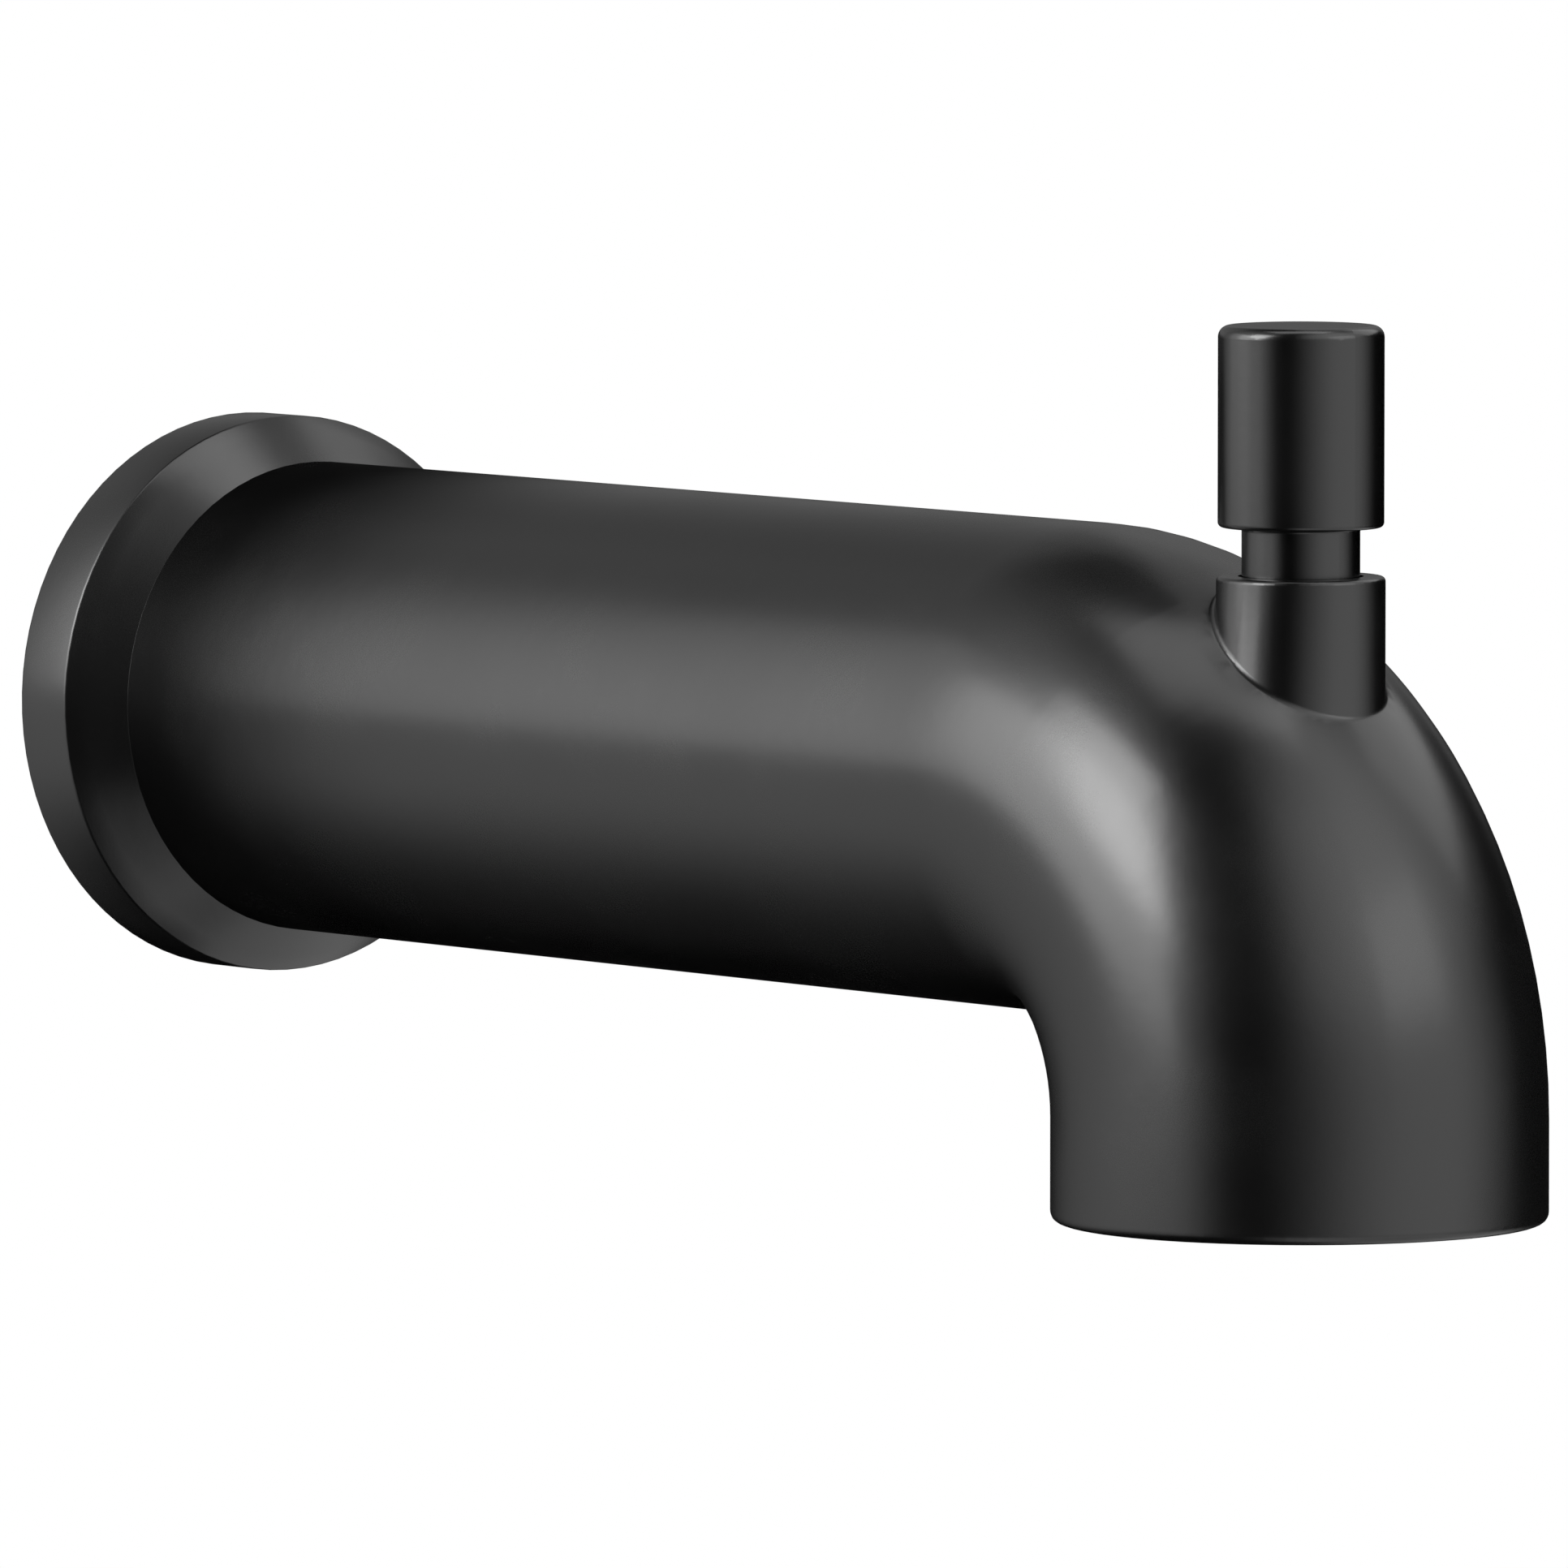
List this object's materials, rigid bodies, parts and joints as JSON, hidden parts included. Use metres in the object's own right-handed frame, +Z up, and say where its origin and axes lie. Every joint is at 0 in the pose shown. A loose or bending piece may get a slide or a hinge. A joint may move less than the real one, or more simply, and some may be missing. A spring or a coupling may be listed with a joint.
{
  "type": "bath spout with pull-up diverter",
  "caption": "Round bath spout with a wall flange, a straight tube, an elbow down to an open mouth, and a pull-up diverter knob on a boss above the nose.",
  "frame": {"origin": "centre of the flange's back face, on the inlet's axis", "axes": "+X out from the wall along the tube, +Z up along the diverter's stem, +Y to the left seen from the mouth end"},
  "size_m": [0.1928, 0.057, 0.0863],
  "materials": {
    "body_coat": "satin black coating on die-cast zinc alloy",
    "knob_coat": "satin black coating on turned brass",
    "gasket_foam": "closed-cell foam",
    "bushing_brass": "machined",
    "seal_rubber": "moulded, matt",
    "waterway_plastic": "moulded, natural grey-white",
    "bush_plastic": "moulded, ivory",
    "rod_steel": "drawn bar",
    "screw_steel": "plain"
  },
  "bodies": {
    "spout": {"spout_body": "body_coat", "wall_gasket": "gasket_foam", "inlet_bushing": "bushing_brass", "inlet_o_ring": "seal_rubber", "waterway": "waterway_plastic", "spigot_o_ring": "seal_rubber", "waterway_screws": "screw_steel", "gate_housing": "waterway_plastic", "seat_plate": "waterway_plastic", "stem_bush": "bush_plastic", "stem_seal": "seal_rubber"},
    "diverter": {"diverter_knob": "knob_coat", "lift_rod": "rod_steel", "gate": "bush_plastic", "gate_seal": "seal_rubber"}
  },
  "joints": [
    {"name": "diverter_lift", "type": "slide", "parent": "spout", "child": "diverter", "axis": [0, 0, 1], "range_m": [0, 0.0105]}
  ]
}
